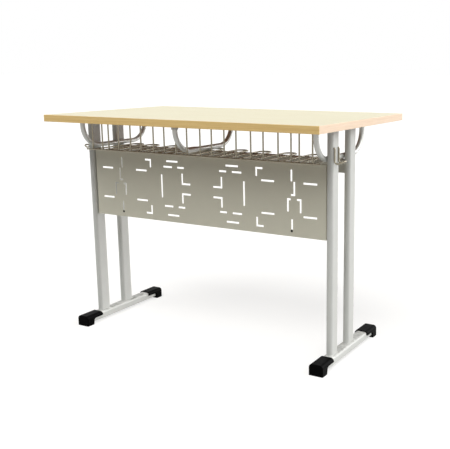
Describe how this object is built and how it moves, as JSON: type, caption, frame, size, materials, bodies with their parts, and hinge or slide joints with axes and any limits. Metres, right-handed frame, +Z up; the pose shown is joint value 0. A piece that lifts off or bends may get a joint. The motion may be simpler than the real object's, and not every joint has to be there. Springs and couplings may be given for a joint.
{
  "type": "school table",
  "caption": "School table with paired oval legs on capped floor runners, slotted front panel, wire book basket on bent tubes and a bag hook at each end.",
  "frame": {"origin": "on the floor under the middle of the table top", "axes": "+X along the table's length, +Y from the front panel towards the person sitting, +Z up"},
  "size_m": [1, 0.6, 0.73],
  "materials": {
    "laminate_top": "satin",
    "edge_band": "satin",
    "frame_paint": "satin",
    "panel_paint": "satin",
    "wire_paint": "satin",
    "black_plastic": "matte",
    "zinc": "satin"
  },
  "bodies": {
    "root": {"bag_hook_left": "wire_paint", "bag_hook_right": "wire_paint", "basket_clips": "zinc", "basket_hairpin_01": "wire_paint", "basket_hairpin_02": "wire_paint", "basket_hairpin_03": "wire_paint", "basket_hairpin_04": "wire_paint", "basket_hairpin_05": "wire_paint", "basket_hairpin_06": "wire_paint", "basket_hairpin_07": "wire_paint", "basket_hairpin_08": "wire_paint", "basket_hairpin_09": "wire_paint", "basket_hairpin_10": "wire_paint", "basket_rail_back": "wire_paint", "basket_rail_front": "wire_paint", "basket_rail_top": "wire_paint", "bow_socket_front": "frame_paint", "bow_socket_rear": "frame_paint", "bow_tube_left": "frame_paint", "bow_tube_middle": "frame_paint", "bow_tube_right": "frame_paint", "clip_screws": "zinc", "cross_beam": "frame_paint", "edge_band_front": "edge_band", "edge_band_left": "edge_band", "edge_band_rear": "edge_band", "edge_band_right": "edge_band", "foot_cap_front_left": "black_plastic", "foot_cap_front_right": "black_plastic", "foot_cap_rear_left": "black_plastic", "foot_cap_rear_right": "black_plastic", "foot_tube_left": "frame_paint", "foot_tube_right": "frame_paint", "front_leg_left": "frame_paint", "front_leg_right": "frame_paint", "modesty_panel": "panel_paint", "panel_plugs": "black_plastic", "panel_screws": "zinc", "panel_spacers": "zinc", "rear_leg_left": "frame_paint", "rear_leg_right": "frame_paint", "socket_screws": "zinc", "tabletop_board": "laminate_top", "tabletop_screws": "zinc", "top_bar_left": "frame_paint", "top_bar_right": "frame_paint"}
  },
  "joints": []
}
